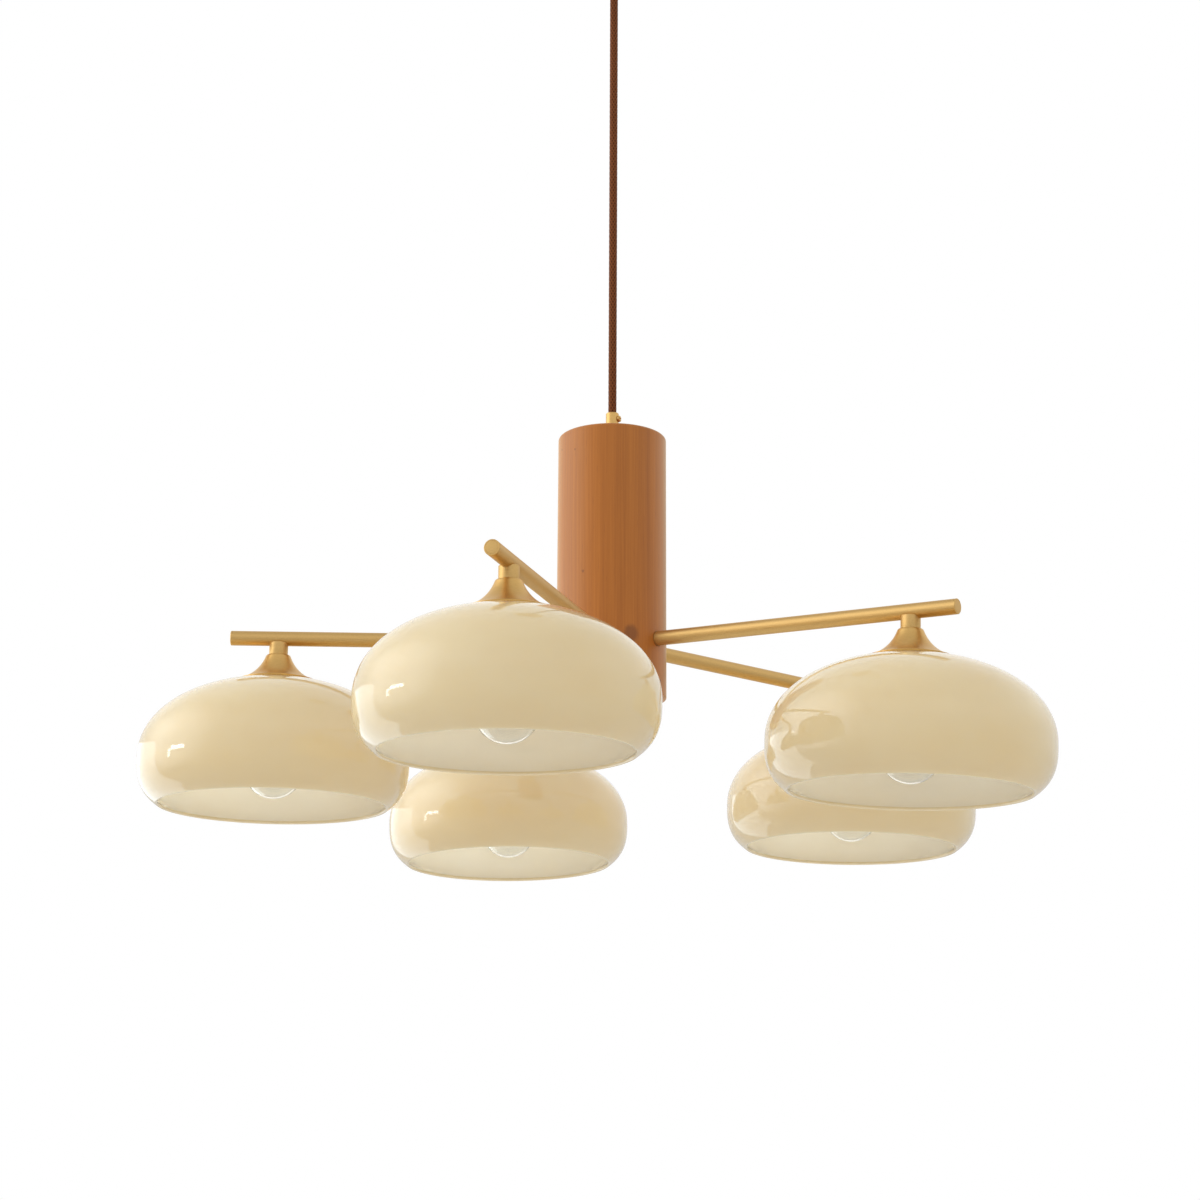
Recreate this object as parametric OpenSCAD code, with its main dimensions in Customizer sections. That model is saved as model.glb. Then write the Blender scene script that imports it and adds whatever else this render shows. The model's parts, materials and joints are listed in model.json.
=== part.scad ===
// Five-arm pendant chandelier: turned wooden hub, brass arms, opal glass shades.
// Origin: centre of the ceiling bracket's screw pattern, on the ceiling plane. +Z points up.

/* [Ceiling fitting] */
// Outer diameter of the ceiling canopy
canopy_d = 115; // [100:1:140]
// Depth of the canopy below the ceiling
canopy_h = 26; // [22:1:34]
// Sheet thickness of the canopy
canopy_wall = 1.2; // [0.8:0.1:2]
// Outside radius of the canopy's lower edge
canopy_edge_r = 5; // [3:0.5:8]
// Width of the ceiling bracket
bracket_w = 22; // [16:1:26]
// Thickness of the bracket strip
bracket_t = 2; // [1.5:0.1:2.5]
// Depth of the bracket's turned-down ends
bracket_lug_h = 14; // [12:0.5:16]
// Distance between the two ceiling screw holes
ceiling_hole_pitch = 60; // [50:1:70]
// Diameter of the ceiling screw holes
ceiling_hole_d = 5; // [4:0.1:6]
// Height of the canopy screws' line below the ceiling
canopy_screw_drop = 8; // [6:0.5:9]

/* [Cord] */
// Diameter of the textile cord
cord_d = 6.4; // [5.5:0.1:7.2]
// Free length of cord between the two grips
cord_free = 375; // [300:12.5:1500]

/* [Cord grips] */
// Radial step from a grip's shank out to its barrel
grip_step = 0.55; // [0.4:0.05:2]
// Length of the canopy grip below the canopy
canopy_grip_len = 20; // [16:0.5:26]
// Length of the hub grip above the hub
hub_grip_len = 19.4; // [16:0.1:26]
// Wall of the grips' threaded shanks
grip_wall = 0.95; // [0.6:0.05:1.5]
// Length of the hub grip's shank
hub_shank_len = 10; // [6:0.5:16]
// Diameter of a grip screw's shank
grip_screw_d = 3; // [2:0.1:3.5]
// Direction in which the hub grip's screw points
hub_screw_azimuth = -24; // [-180:1:180]

/* [Hub] */
// Diameter of the wooden hub
hub_d = 83; // [76:0.5:100]
// Length of the wooden hub
hub_h = 205; // [180:1:260]
// Height of the arms' line above the hub's lower end
arm_line = 43; // [41:0.5:60]
// Diameter of the hub's bore
hub_bore_d = 46; // [45:0.5:50]
// Thickness of solid wood over the bore
hub_roof = 20; // [12:0.5:30]
// Rounding of the hub's top edge
hub_edge_r = 2.5; // [1:0.1:4]
// Overlap of the lower cover on the wood round the bore
cover_lap = 3; // [2:0.5:6]
// Thickness of the lower cover
cover_t = 2.8; // [2:0.1:4]
// Wall of the central rod tube
rod_wall = 1.5; // [1.2:0.05:2.5]
// Overlap of the rod's head on top of the hub
rod_head_lap = 3; // [2:0.5:6]
// Thickness of the rod's head
rod_head_t = 1.5; // [1:0.1:3]
// Width across the flats of the rod's nuts
nut_af = 19; // [17:0.5:20]
// Thickness of the rod's nuts
nut_t = 6; // [4:0.5:7]

/* [Arms] */
// Outer diameter of an arm
arm_d = 11; // [10:0.1:12.5]
// Wall of an arm
arm_wall = 1; // [0.8:0.1:1.4]
// Distance from the hub's axis to a shade's axis
arm_reach = 250; // [220:1:320]
// Length of arm beyond the shade's axis
arm_overhang = 36; // [20:1:60]
// Height of the arm collar inside the hub
collar_h = 24; // [20:0.5:30]
// Thickness of the collar's web
collar_web = 3; // [2:0.5:4]
// Room for the leads between the rod and the collar's bore
collar_room = 7; // [5:0.5:9]
// Sag of the first arm, in degrees below level
arm_1_sag = 1.3; // [0:0.1:3]
// Sag of the second arm
arm_2_sag = 2.1; // [0:0.1:3]
// Sag of the third arm
arm_3_sag = 0; // [0:0.1:3]
// Sag of the fourth arm
arm_4_sag = 0.4; // [0:0.1:3]
// Sag of the fifth arm
arm_5_sag = 2; // [0:0.1:3]

/* [Stem] */
// Wall of the post under an arm, outside the nipple
post_wall = 1.9; // [1.5:0.1:3]
// Drop from the arm's line to the post's flat top
post_top_drop = 3; // [2:0.1:4]
// Drop from the arm's line to the post's foot
post_foot_drop = 13; // [12:0.1:18]
// Step from the post's side out to the bell's neck
bell_step = 2.2; // [1:0.1:4]
// Height of the bevel on the bell's neck
bell_bevel = 0.7; // [0.3:0.1:1.2]
// Diameter of the bell's lip
bell_lip_d = 60; // [54:0.5:66]
// Lean of the bell's side from vertical at its neck
bell_neck_lean = 20; // [10:1:30]
// Wall of the bell
bell_wall = 1.2; // [0.8:0.1:1.6]
// Thickness of the bell's top
bell_top_t = 2.5; // [2:0.1:3]
// Outer diameter of the threaded nipple
nipple_d = 10; // [9.5:0.1:10.5]
// Bore of the nipple and the post
nipple_bore = 7; // [6:0.1:7.5]

/* [Shade] */
// Diameter of a shade at its widest
shade_d = 200; // [170:1:240]
// Drop from the arm's line to the top of the glass, on the axis
shade_top_drop = 32; // [31:0.5:38]
// Height of the crown above the widest line
crown_h = 61; // [50:1:75]
// Height of the skirt below the widest line
skirt_h = 34.2; // [25:0.1:45]
// Setback of the mouth's edge from the widest line
mouth_inset = 14.8; // [4:0.1:30]
// Fullness of the crown, 2 for an ellipse
crown_power = 2.1; // [1.9:0.05:2.6]
// Fullness of the skirt, 2 for an ellipse
skirt_power = 2.86; // [2:0.02:3.4]
// Wall of the glass
glass_wall = 2.6; // [2:0.1:4]

/* [Lampholder] */
// Wall of the lampholder
holder_wall = 6.05; // [5:0.05:7]
// Length of the lampholder
holder_h = 46.5; // [46:0.5:56]
// Drop from the arm's line to the lampholder's top
holder_top_drop = 29.5; // [28.5:0.5:32]
// Overlap of the shade ring on the glass round its hole
ring_lap = 6.5; // [4:0.5:10]
// Thickness of the shade ring
ring_t = 6; // [4:0.5:8]

/* [Bulb] */
// Diameter of the globe
globe_d = 45; // [40:0.5:60]
// Length of the bulb above its globe
bulb_neck_len = 30; // [26:0.5:45]
// Diameter over the cap's thread
cap_d = 26.3; // [26:0.1:26.6]
// Length of the bulb's threaded cap and skirt
cap_len = 25; // [22:0.5:26]
// Pitch of the cap's thread
cap_pitch = 3.63; // [3.6:0.01:3.7]
// Diameter of the centre contact
contact_d = 9.6; // [8:0.1:11]

/* [Clearances] */
// Radial clearance of a running fit
run_fit = 0.05; // [0.02:0.01:0.1]
// Radial clearance of assembled parts that don't move
set_fit = 0.1; // [0.05:0.01:0.3]
// Clearance round a flexing or turning curved face
flex_gap = 0.3; // [0.25:0.05:0.5]
// Gap between a glass edge and its seat
seat_gap = 0.3; // [0.2:0.05:0.6]
// Radial gap between the lampholder and the edge of the glass's hole
hole_gap = 0.75; // [0.5:0.05:1.5]
// Radial gap between the bulb's thread and the lampholder
cap_gap = 0.55; // [0.4:0.05:0.8]
// Radial gap between the arm collar and the hub's bore
collar_gap = 1; // [0.5:0.1:2]

/* [Hidden] */
ARMS = [1 : 5];
$fn = 72;

// Colours
BRASS = [0.76, 0.62, 0.36];
BRIGHT_BRASS = [0.80, 0.66, 0.38];
OPAL = [0.90, 0.84, 0.68];
CLEAR = [0.93, 0.95, 0.95, 0.4];
WOOD = [0.70, 0.43, 0.22];
STEEL = [0.72, 0.72, 0.72];
WHITE = [0.94, 0.94, 0.92];
TEXTILE = [0.36, 0.20, 0.14];

// Heights, all measured from the ceiling
cord_top = -canopy_h - canopy_grip_len;
cord_foot = cord_top - cord_free;
hub_top = cord_foot - hub_grip_len - rod_head_t - 0.1;
hub_foot = hub_top - hub_h;
arm_z = hub_foot + arm_line;
rod_foot = hub_foot + cover_t + 0.7;

// Sizes that follow from what goes inside or through
cord_r = cord_d / 2;
grip_bore_r = cord_r + flex_gap;
shank_r = grip_bore_r + grip_wall;
grip_r = shank_r + grip_step;
rod_r = shank_r + run_fit + rod_wall;
arm_r = arm_d / 2;
arm_bore_r = arm_r - arm_wall;
hub_r = hub_d / 2;
hub_bore_r = hub_bore_d / 2;
cover_r = hub_bore_r + cover_lap;
collar_r = hub_bore_r - collar_gap;
collar_bore_r = rod_r + collar_room;
arm_tip = arm_reach + arm_overhang;
post_r = nipple_d / 2 + set_fit + post_wall;
bell_neck_r = post_r + bell_step;
holder_bore_r = cap_d / 2 + cap_gap;
holder_r = holder_bore_r + holder_wall;
glass_hole_r = holder_r + hole_gap;
ring_r = glass_hole_r + ring_lap;

// Heights on a shade's axis, measured from the arm's line
widest_z = -shade_top_drop - crown_h;
holder_foot_z = -holder_top_drop - holder_h;
bulb_top_z = -holder_top_drop - 16.7;
bulb_foot_z = bulb_top_z - bulb_neck_len - globe_d;
globe_r = globe_d / 2;
globe_z = bulb_foot_z + globe_r;
contact_t = 1.6;
cap_top_z = bulb_top_z - contact_t - run_fit;
cap_foot_z = cap_top_z - cap_len;

// Rule for the shade's outline: a pair of flattened quarter ovals that meet at the widest line
function oval_end(share, power) = acos(pow(share, power / 2));
function oval(a, b, power, t) = [a * pow(cos(t), 2 / power), b * pow(sin(t), 2 / power)];
function oval_normal(a, b, power, p) =
    let (n = [pow(p[0] / a, power - 1) / a, pow(p[1] / b, power - 1) / b])
    n / norm(n);

shade_r = shade_d / 2;
mouth_share = 1 - mouth_inset / shade_r;
skirt_b = skirt_h / pow(sin(oval_end(mouth_share, skirt_power)), 2 / skirt_power);

// One point of the crown or the skirt, moved inward by inset
function crown_point(t, inset) =
    let (p = oval(shade_r, crown_h, crown_power, t))
    let (q = p - inset * oval_normal(shade_r, crown_h, crown_power, p))
    [q[0], widest_z + q[1]];
function skirt_point(t, inset) =
    let (p = oval(shade_r, skirt_b, skirt_power, t))
    let (q = p - inset * oval_normal(shade_r, skirt_b, skirt_power, p))
    [q[0], widest_z - q[1]];

crown_steps = 18;
skirt_steps = 12;
rim_steps = 6;
crown_end = oval_end(glass_hole_r / shade_r, crown_power);
skirt_end = oval_end(mouth_share, skirt_power);

// Height of the glass's outer face at radius r
function glass_top_at(r) =
    widest_z + crown_h * pow(1 - pow(r / shade_r, crown_power), 1 / crown_power);

// Bell outline: an arc that leans out from the neck to the lip
bell_lip_r = bell_lip_d / 2;
bell_start = [bell_neck_r, -post_foot_drop - bell_bevel];
bell_lip_z = glass_top_at(bell_lip_r) + seat_gap + bell_wall;
bell_run = bell_lip_r - bell_start[0];
bell_fall = bell_start[1] - bell_lip_z;
bell_lip_lean = 2 * atan2(bell_run, bell_fall) - bell_neck_lean;
bell_arc_r = norm([bell_run, bell_fall]) / (2 * sin((bell_lip_lean - bell_neck_lean) / 2));
bell_centre = bell_start + bell_arc_r * [cos(bell_neck_lean), sin(bell_neck_lean)];
bell_steps = 12;
function bell_point(lean, wall) = bell_centre - (bell_arc_r + wall) * [cos(lean), sin(lean)];

// Inside of the bell: where the inner arc meets the underside of the bell's top
bell_roof_z = -post_foot_drop - bell_top_t;
bell_roof_lean = asin((bell_centre[1] - bell_roof_z) / (bell_arc_r + bell_wall));

// Points on an arc about a centre
function arc(centre, r, from, to, steps) =
    [for (k = [0 : steps]) centre + r * [cos(from + (to - from) * k / steps),
                                         sin(from + (to - from) * k / steps)]];

// Tube swept along a path, with the section carried along without twist
function unit(v) = v / norm(v);
function heading(path, k) = unit(path[min(k + 1, len(path) - 1)] - path[max(k - 1, 0)]);
function level(v, t) = unit(v - (v * t) * t);
function side_vectors(path, start) =
    [for (k = 0, v = level(start, heading(path, 0));
          k < len(path);
          k = k + 1, v = level(v, heading(path, min(k, len(path) - 1)))) v];
module tube(path, radii, sides, start) {
    across = side_vectors(path, start);
    rings = [for (k = [0 : len(path) - 1])
        let (t = heading(path, k))
        let (u = across[k])
        let (w = cross(t, u))
        [for (s = [0 : sides - 1])
            path[k] + radii[k] * (cos(360 * s / sides) * u + sin(360 * s / sides) * w)]];
    points = [for (ring = rings) for (p = ring) p];
    walls = [for (k = [0 : len(path) - 2]) for (s = [0 : sides - 1])
        let (a = k * sides + s)
        let (b = k * sides + (s + 1) % sides)
        for (f = [[a, a + sides, b], [b, a + sides, b + sides]]) f];
    near_end = [[for (s = [0 : sides - 1]) s]];
    last = (len(path) - 1) * sides;
    far_end = [[for (s = [0 : sides - 1]) last + sides - 1 - s]];
    polyhedron(points = points, faces = concat(walls, near_end, far_end), convexity = 4);
}

// Cord between the grips: straight down, with a ring each cord_step and rounded ends
cord_step = 12.5;
cord_sides = 12;
cap_leans = [70, 45, 20];
cord_route = concat(
    [for (a = cap_leans) [0, 0, cord_top + cord_r * sin(a)]],
    [for (fall = [0 : cord_step : cord_free]) [0, 0, cord_top - fall]],
    [for (k = [2 : -1 : 0]) [0, 0, cord_foot - cord_r * sin(cap_leans[k])]]
);
cord_radii = [for (p = cord_route)
    let (past = max(p[2] - cord_top, cord_foot - p[2], 0))
    sqrt(cord_r * cord_r - past * past)];

// Places round the hub: the third arm points along -X.
// An arm's own frame has its origin on the hub's axis and +X along the arm, and it leans by the sag.
arm_sags = [arm_1_sag, arm_2_sag, arm_3_sag, arm_4_sag, arm_5_sag];
function arm_azimuth(i) = 36 + 72 * (i - 1);
module at_arm(i) {
    translate([0, 0, arm_z]) rotate([0, arm_sags[i - 1], arm_azimuth(i)]) children();
}
module at_shade(i) { at_arm(i) translate([arm_reach, 0, 0]) children(); }

// Wiring: the cord's tail and one lead to each arm
lead_r = 1.1;
splice_x = rod_r + 2;
splice_w = 22;
splice_h = 20;
splice_t = sqrt(pow(hub_bore_r - 1.9, 2) - pow(splice_w / 2, 2)) - splice_x;
splice_top = arm_z + 54;
splice_foot = splice_top - splice_h;
lead_way_r = (rod_r + collar_bore_r) / 2;
lead_rise = 8;
lead_foot_z = -holder_top_drop - 12;
lead_starts = [0, 4, 8, -8, -4];
tail_r = cord_r;
tail_out = splice_x + splice_t / 2;
// The point out along arm i, and up from it, in its own leaning frame
function in_arm(i, out, up) =
    let (sag = arm_sags[i - 1])
    let (r = out * cos(sag) + up * sin(sag))
    [r * cos(arm_azimuth(i)), r * sin(arm_azimuth(i)), arm_z + up * cos(sag) - out * sin(sag)];
function lead_turn(i) = arm_azimuth(i) > 180 ? arm_azimuth(i) - 360 : arm_azimuth(i);
function lead_route(i) =
    let (start = [tail_out, lead_starts[i - 1]])
    let (start_turn = atan2(start[1], start[0]))
    let (turn = lead_turn(i))
    let (aim = [cos(turn), sin(turn)])
    concat(
        [[start[0], start[1], splice_foot - lead_r]],
        [for (k = [0 : 8])
            let (r = norm(start) + (lead_way_r - norm(start)) * k / 8)
            let (a = start_turn + (turn - start_turn) * k / 8)
            let (z = splice_foot - 4 + (arm_z + lead_rise - splice_foot + 4) * k / 8)
            [r * cos(a), r * sin(a), z]],
        [for (p = [[0.2, 3.5], [1.6, 0.9], [4, 0]])
            in_arm(i, lead_way_r + p[0], p[1])],
        [for (p = [[-5, 0], [-1.5, -1.2], [0, -4], [0, lead_foot_z]])
            in_arm(i, arm_reach + p[0], p[1])]
    );
tail_start = cord_foot - cord_r - flex_gap;
tail_route = [
    [0, 0, tail_start],
    [0, 0, splice_top + 32],
    [1, 0, splice_top + 26],
    [4, 0, splice_top + 17],
    [9, 0, splice_top + 7],
    [tail_out, 0, splice_top + 3],
    [tail_out, 0, splice_top + 0.1]
];

// Screw along +X from its tip at x = tip to under its head at x = seat
screw_head_r = 2.5;
screw_head_t = 2;
module slotted_screw(tip, seat, r) {
    translate([tip, 0, 0]) rotate([0, 90, 0]) cylinder(r = r, h = seat - tip);
    difference() {
        translate([seat, 0, 0]) rotate([0, 90, 0]) cylinder(r = screw_head_r, h = screw_head_t);
        translate([seat + screw_head_t - 0.9, -screw_head_r, -0.4])
            cube([2, 2 * screw_head_r, 0.8]);
    }
}

// Hexagonal nut on the Z axis with its underside at z = 0
module hex_nut(af, t, bore_r) {
    difference() {
        cylinder(r = af / 2 / cos(30), h = t, $fn = 6);
        translate([0, 0, -1]) cylinder(r = bore_r, h = t + 2);
    }
}

// ---- Ceiling fitting ----

canopy_r = canopy_d / 2;
bracket_half = sqrt(pow(canopy_r - canopy_wall - 0.5, 2) - pow(bracket_w / 2, 2));
grip_screw_r = grip_screw_d / 2;
grip_screw_drop = 5;

module ceiling_bracket() {
    color(STEEL)
    difference() {
        union() {
            translate([-bracket_half, -bracket_w / 2, -bracket_t])
                cube([2 * bracket_half, bracket_w, bracket_t]);
            for (side = [0, 180])
                rotate([0, 0, side])
                    translate([bracket_half - bracket_t, -bracket_w / 2, -bracket_lug_h])
                        cube([bracket_t, bracket_w, bracket_lug_h]);
        }
        for (side = [-1, 1])
            translate([side * ceiling_hole_pitch / 2, 0, -bracket_t - 1])
                cylinder(d = ceiling_hole_d, h = bracket_t + 2);
        translate([-canopy_r, 0, -canopy_screw_drop]) rotate([0, 90, 0])
            cylinder(r = grip_screw_r + set_fit, h = canopy_d);
    }
}

module ceiling_canopy() {
    inner_edge_r = canopy_edge_r - canopy_wall;
    edge_centre = [canopy_r - canopy_edge_r, -canopy_h + canopy_edge_r];
    color(BRASS)
    difference() {
        rotate_extrude()
            polygon(concat(
                [[shank_r + set_fit, -canopy_h]],
                arc(edge_centre, canopy_edge_r, -90, 0, 8),
                [[canopy_r, 0], [canopy_r - canopy_wall, 0]],
                arc(edge_centre, inner_edge_r, 0, -90, 8),
                [[shank_r + set_fit, -canopy_h + canopy_wall]]
            ));
        translate([-canopy_d, 0, -canopy_screw_drop]) rotate([0, 90, 0])
            cylinder(r = grip_screw_r + set_fit, h = 2 * canopy_d);
    }
}

module canopy_screws() {
    color(BRIGHT_BRASS) {
        for (side = [0, 180])
            rotate([0, 0, side]) translate([0, 0, -canopy_screw_drop])
                slotted_screw(bracket_half - bracket_t - 1, canopy_r, grip_screw_r);
        translate([0, 0, cord_top + grip_screw_drop])
            slotted_screw(grip_bore_r, grip_r, grip_screw_r);
    }
}

// Grip body and shank: the body runs from mouth to seat, and the shank goes on by shank_len
module cord_grip(mouth, seat, shank_len) {
    way = sign(mouth - seat);
    difference() {
        rotate_extrude()
            polygon([
                [grip_bore_r + 0.6, mouth],
                [grip_r - 0.8, mouth],
                [grip_r, mouth - way * 0.8],
                [grip_r, seat],
                [shank_r, seat],
                [shank_r, seat - way * shank_len],
                [grip_bore_r, seat - way * shank_len],
                [grip_bore_r, mouth - way * 0.6]
            ]);
        translate([0, 0, mouth - way * grip_screw_drop]) rotate([0, 90, 0])
            cylinder(r = grip_screw_r + set_fit, h = 2 * grip_r);
    }
}

canopy_nut_t = 4;
canopy_shank_len = canopy_wall + canopy_nut_t + 1;

module canopy_grip() {
    color(BRIGHT_BRASS) cord_grip(cord_top, -canopy_h, canopy_shank_len);
}

module canopy_nut() {
    color(STEEL) translate([0, 0, -canopy_h + canopy_wall])
        hex_nut(14, canopy_nut_t, shank_r + set_fit);
}

terminal_size = [30, 16, 12];
module terminal_block() {
    color(WHITE) {
        translate([-terminal_size[0] / 2, -terminal_size[1] / 2, -bracket_t - terminal_size[2]])
            difference() {
                cube(terminal_size);
                for (k = [1, 2])
                    translate([k * terminal_size[0] / 3 - 0.75, -1, -1])
                        cube([1.5, terminal_size[1] + 2, terminal_size[2] - 3]);
            }
    }
}

module canopy_tail() {
    foot = cord_top + cord_r + flex_gap;
    color(TEXTILE) translate([0, 0, foot])
        cylinder(r = cord_r, h = -bracket_t - terminal_size[2] - 0.1 - foot);
}

// ---- Cord ----

module cord() {
    color(TEXTILE) tube(cord_route, cord_radii, cord_sides, [1, 0, 0]);
}

// ---- Hub grip ----

module hub_grip() {
    color(BRIGHT_BRASS) rotate([0, 0, hub_screw_azimuth])
        cord_grip(cord_foot, cord_foot - hub_grip_len, hub_shank_len);
}

module hub_grip_screw() {
    color(BRIGHT_BRASS) rotate([0, 0, hub_screw_azimuth])
        translate([0, 0, cord_foot - grip_screw_drop])
            slotted_screw(grip_bore_r, grip_r, grip_screw_r);
}

// ---- Hub ----

cover_pocket = cover_t + 0.3;
module hub_body() {
    foot_edge_r = 1;
    color(WOOD)
    difference() {
        rotate_extrude()
            polygon(concat(
                [[rod_r + set_fit, hub_top - hub_roof]],
                [[hub_bore_r, hub_top - hub_roof]],
                [[hub_bore_r, hub_foot + cover_pocket]],
                [[cover_r + set_fit, hub_foot + cover_pocket]],
                [[cover_r + set_fit, hub_foot]],
                arc([hub_r - foot_edge_r, hub_foot + foot_edge_r], foot_edge_r, -90, 0, 4),
                arc([hub_r - hub_edge_r, hub_top - hub_edge_r], hub_edge_r, 0, 90, 6),
                [[rod_r + set_fit, hub_top]]
            ));
        for (i = ARMS)
            at_arm(i) translate([hub_bore_r - 2, 0, 0]) rotate([0, 90, 0])
                cylinder(r = arm_r + set_fit, h = hub_r);
    }
}

module hub_rod() {
    window_w = 2 * tail_r + 1.1;
    window_foot = splice_top + 4;
    window_h = 34;
    color(STEEL)
    difference() {
        union() {
            translate([0, 0, rod_foot]) cylinder(r = rod_r, h = hub_top - rod_foot);
            translate([0, 0, hub_top]) cylinder(r = rod_r + rod_head_lap, h = rod_head_t);
        }
        translate([0, 0, rod_foot - 1])
            cylinder(r = shank_r + run_fit, h = hub_top - rod_foot + rod_head_t + 2);
        translate([0, -window_w / 2, window_foot]) cube([2 * rod_r, window_w, window_h]);
    }
}

module hub_nuts() {
    bore = rod_r + set_fit;
    color(STEEL) {
        translate([0, 0, hub_top - hub_roof - nut_t]) hex_nut(nut_af, nut_t, bore);
        translate([0, 0, arm_z - collar_h / 2 - collar_web - nut_t]) hex_nut(nut_af, nut_t, bore);
    }
}

module hub_cover() {
    boss_r = rod_r + 3;
    boss_h = 12;
    color(BRASS)
    rotate_extrude()
        polygon([
            [0, hub_foot],
            [cover_r - 0.5, hub_foot],
            [cover_r, hub_foot + 0.5],
            [cover_r, hub_foot + cover_t],
            [boss_r, hub_foot + cover_t],
            [boss_r, hub_foot + boss_h],
            [rod_r + set_fit, hub_foot + boss_h],
            [rod_r + set_fit, hub_foot + cover_t],
            [0, hub_foot + cover_t]
        ]);
}

module arm_collar() {
    top = arm_z + collar_h / 2;
    color(STEEL)
    difference() {
        translate([0, 0, top - collar_h - collar_web])
            cylinder(r = collar_r, h = collar_h + collar_web);
        translate([0, 0, top - collar_h]) cylinder(r = collar_bore_r, h = collar_h + 1);
        translate([0, 0, top - collar_h - collar_web - 1])
            cylinder(r = rod_r + set_fit, h = collar_web + 2);
        for (i = ARMS)
            at_arm(i) translate([collar_bore_r - 2, 0, 0]) rotate([0, 90, 0])
                cylinder(r = arm_r + run_fit, h = 2 * collar_r);
    }
}

module splice_block() {
    color(WHITE)
    translate([splice_x, -splice_w / 2, splice_foot]) cube([splice_t, splice_w, splice_h]);
}

module hub_wiring() {
    color(TEXTILE) {
        tube(tail_route, [for (p = tail_route) tail_r], 12, [1, 0, 0]);
        for (i = ARMS) {
            route = lead_route(i);
            tube(route, [for (p = route) lead_r], 8, [0, 1, 0]);
        }
    }
}

// ---- Arms ----

plug_t = 1.4;
plug_spigot = 5;

module arm_tube(i) {
    color(BRASS) at_arm(i)
    difference() {
        translate([collar_bore_r, 0, 0]) rotate([0, 90, 0])
            cylinder(r = arm_r, h = arm_tip - plug_t - collar_bore_r);
        translate([collar_bore_r - 1, 0, 0]) rotate([0, 90, 0])
            cylinder(r = arm_bore_r, h = arm_tip);
        translate([arm_reach, 0, -arm_d]) cylinder(d = nipple_bore - 1, h = arm_d);
    }
}

module arm_end_plugs() {
    bevel = 0.4;
    color(BRASS)
    for (i = ARMS)
        at_arm(i) translate([arm_tip, 0, 0]) rotate([0, 90, 0]) rotate_extrude()
            polygon([
                [0, 0],
                [arm_r - bevel, 0],
                [arm_r, -bevel],
                [arm_r, -plug_t],
                [arm_bore_r - run_fit, -plug_t],
                [arm_bore_r - run_fit, -plug_t - plug_spigot],
                [0, -plug_t - plug_spigot]
            ]);
}

// ---- Stems ----

nipple_top_z = -post_foot_drop + 4.8;
nipple_foot_z = -holder_top_drop - 7;

module stem_post(i) {
    bevel = 0.6;
    color(BRASS) at_shade(i)
    difference() {
        rotate_extrude()
            polygon([
                [nipple_bore / 2, -post_top_drop],
                [post_r - bevel, -post_top_drop],
                [post_r, -post_top_drop - bevel],
                [post_r, -post_foot_drop],
                [nipple_d / 2 + set_fit, -post_foot_drop],
                [nipple_d / 2 + set_fit, nipple_top_z + set_fit],
                [nipple_bore / 2, nipple_top_z + set_fit]
            ]);
        translate([-2 * post_r, 0, 0]) rotate([0, 90, 0])
            cylinder(r = arm_r + run_fit, h = 4 * post_r);
    }
}

module bell_cap(i) {
    hole_r = nipple_d / 2 + set_fit;
    lean_at = function(k) bell_neck_lean + (bell_lip_lean - bell_neck_lean) * k / bell_steps;
    inner_at = function(k) bell_lip_lean + (bell_roof_lean - bell_lip_lean) * k / bell_steps;
    color(BRIGHT_BRASS) at_shade(i)
    rotate_extrude()
        polygon(concat(
            [[hole_r, -post_foot_drop]],
            [[bell_neck_r - bell_bevel, -post_foot_drop]],
            [for (k = [0 : bell_steps]) bell_point(lean_at(k), 0)],
            [for (k = [0 : bell_steps]) bell_point(inner_at(k), bell_wall)],
            [[hole_r, bell_roof_z]]
        ));
}

module shade_nipples() {
    color(STEEL)
    for (i = ARMS)
        at_shade(i) translate([0, 0, nipple_foot_z])
        difference() {
            cylinder(d = nipple_d, h = nipple_top_z - nipple_foot_z);
            translate([0, 0, -1]) cylinder(d = nipple_bore, h = nipple_top_z - nipple_foot_z + 2);
        }
}

// ---- Shades ----

module glass_shade(i) {
    half = glass_wall / 2;
    rim_normal = skirt_point(skirt_end, 0) - skirt_point(skirt_end, 1);
    rim_lean = atan2(rim_normal[1], rim_normal[0]);
    color(OPAL) at_shade(i)
    rotate_extrude()
        polygon(concat(
            [for (k = [crown_steps : -1 : 0]) crown_point(crown_end * k / crown_steps, 0)],
            [for (k = [1 : skirt_steps]) skirt_point(skirt_end * k / skirt_steps, 0)],
            [for (k = [1 : rim_steps - 1])
                let (a = rim_lean - 180 * k / rim_steps)
                skirt_point(skirt_end, half) + half * [cos(a), sin(a)]],
            [for (k = [skirt_steps : -1 : 1]) skirt_point(skirt_end * k / skirt_steps, glass_wall)],
            [for (k = [0 : crown_steps]) crown_point(crown_end * k / crown_steps, glass_wall)]
        ));
}

// The ring screws up the lampholder until the glass is clamped
ring_top_z = glass_top_at(ring_r) - glass_wall - seat_gap;
module shade_rings() {
    bevel = 0.8;
    color(WHITE)
    for (i = ARMS)
        at_shade(i) rotate_extrude()
            polygon([
                [holder_r + set_fit, ring_top_z],
                [ring_r - bevel, ring_top_z],
                [ring_r, ring_top_z - bevel],
                [ring_r, ring_top_z - ring_t + bevel],
                [ring_r - bevel, ring_top_z - ring_t],
                [holder_r + set_fit, ring_top_z - ring_t]
            ]);
}

// ---- Lampholders ----

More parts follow.
